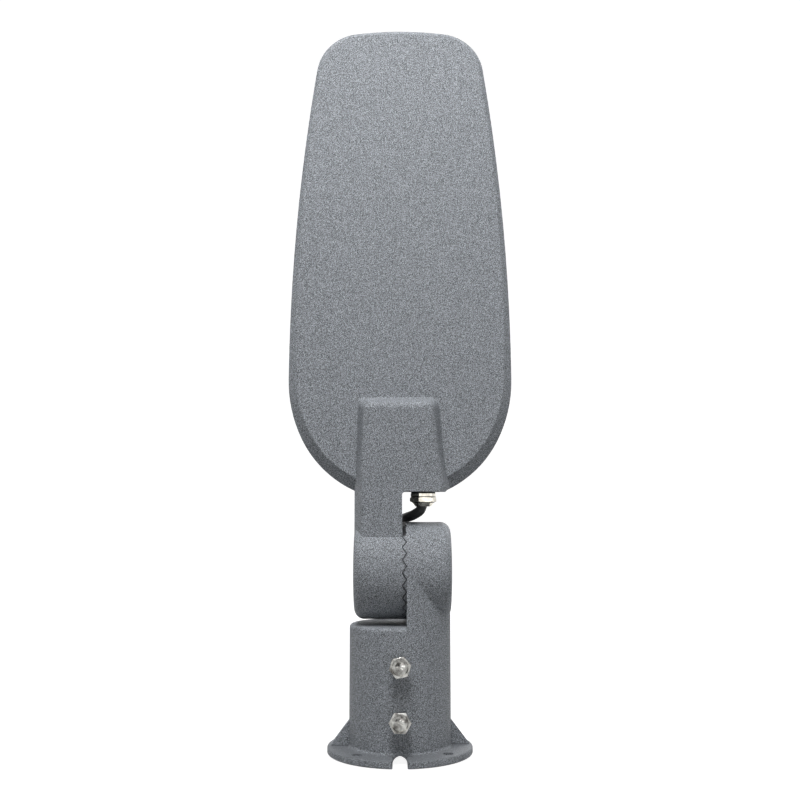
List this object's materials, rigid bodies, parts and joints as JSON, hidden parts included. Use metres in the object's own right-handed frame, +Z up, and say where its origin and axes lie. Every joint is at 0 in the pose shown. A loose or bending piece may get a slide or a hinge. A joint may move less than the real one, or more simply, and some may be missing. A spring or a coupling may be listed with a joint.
{
  "type": "led street light head",
  "caption": "Flat shield-shaped street lamp head with a lensed lamp panel and domed driver cover, on a toothed tilting knuckle over a flanged pole socket.",
  "frame": {"origin": "centre of the pole socket's flange, on its underside", "axes": "+Z up the pole socket towards the head's tip, +Y the way the lamps face, +X along the tilt axis from the head's disc to the post's disc"},
  "size_m": [0.158, 0.1016, 0.5147],
  "materials": {
    "casting": "fine-textured satin grey paint",
    "steel": "plated, satin",
    "nickel": "bright nickel",
    "black_rubber": "matt",
    "cable_sheath": "smooth, satin",
    "clear_panel": "clear, moulded",
    "board": "white solder mask",
    "lamp": "yellow phosphor under clear resin",
    "gasket": "matt silicone",
    "driver_case": "satin",
    "terminal": "moulded"
  },
  "bodies": {
    "pole_fitter": {"pole_socket": "casting", "pivot_nut": "steel"},
    "pivot": {"pivot_bolt": "steel", "pivot_washer": "steel", "pivot_spring_washer": "steel"},
    "head": {"head_housing": "casting", "driver_cover": "casting", "cover_gasket": "gasket", "cover_screws": "steel", "driver": "driver_case", "driver_screws": "steel", "terminal_block": "terminal", "lens_panel": "clear_panel", "lens_gasket": "gasket", "lens_screws": "steel", "led_board": "board", "board_screws": "steel", "led_chips": "lamp", "gland_washer": "black_rubber", "gland_body": "nickel", "gland_locknut": "nickel", "gland_cap_nut": "nickel", "gland_seal": "black_rubber", "power_cable": "cable_sheath"},
    "upper_clamp": {"clamp_bolt_upper": "steel"},
    "lower_clamp": {"clamp_bolt_lower": "steel"}
  },
  "joints": [
    {"name": "knuckle_release", "type": "slide", "parent": "pole_fitter", "child": "pivot", "axis": [-1, 0, 0], "range_m": [0, 0.003]},
    {"name": "head_tilt", "type": "hinge", "parent": "pivot", "child": "head", "pos_m": [0, 0, 0.1235], "axis": [1, 0, 0], "range_deg": [-90, 90], "deforming": ["power_cable"]},
    {"name": "upper_clamp_screw", "type": "slide", "parent": "pole_fitter", "child": "upper_clamp", "axis": [0, 1, 0], "range_m": [0, 0.0035]},
    {"name": "lower_clamp_screw", "type": "slide", "parent": "pole_fitter", "child": "lower_clamp", "axis": [0, 1, 0], "range_m": [0, 0.0035]}
  ]
}
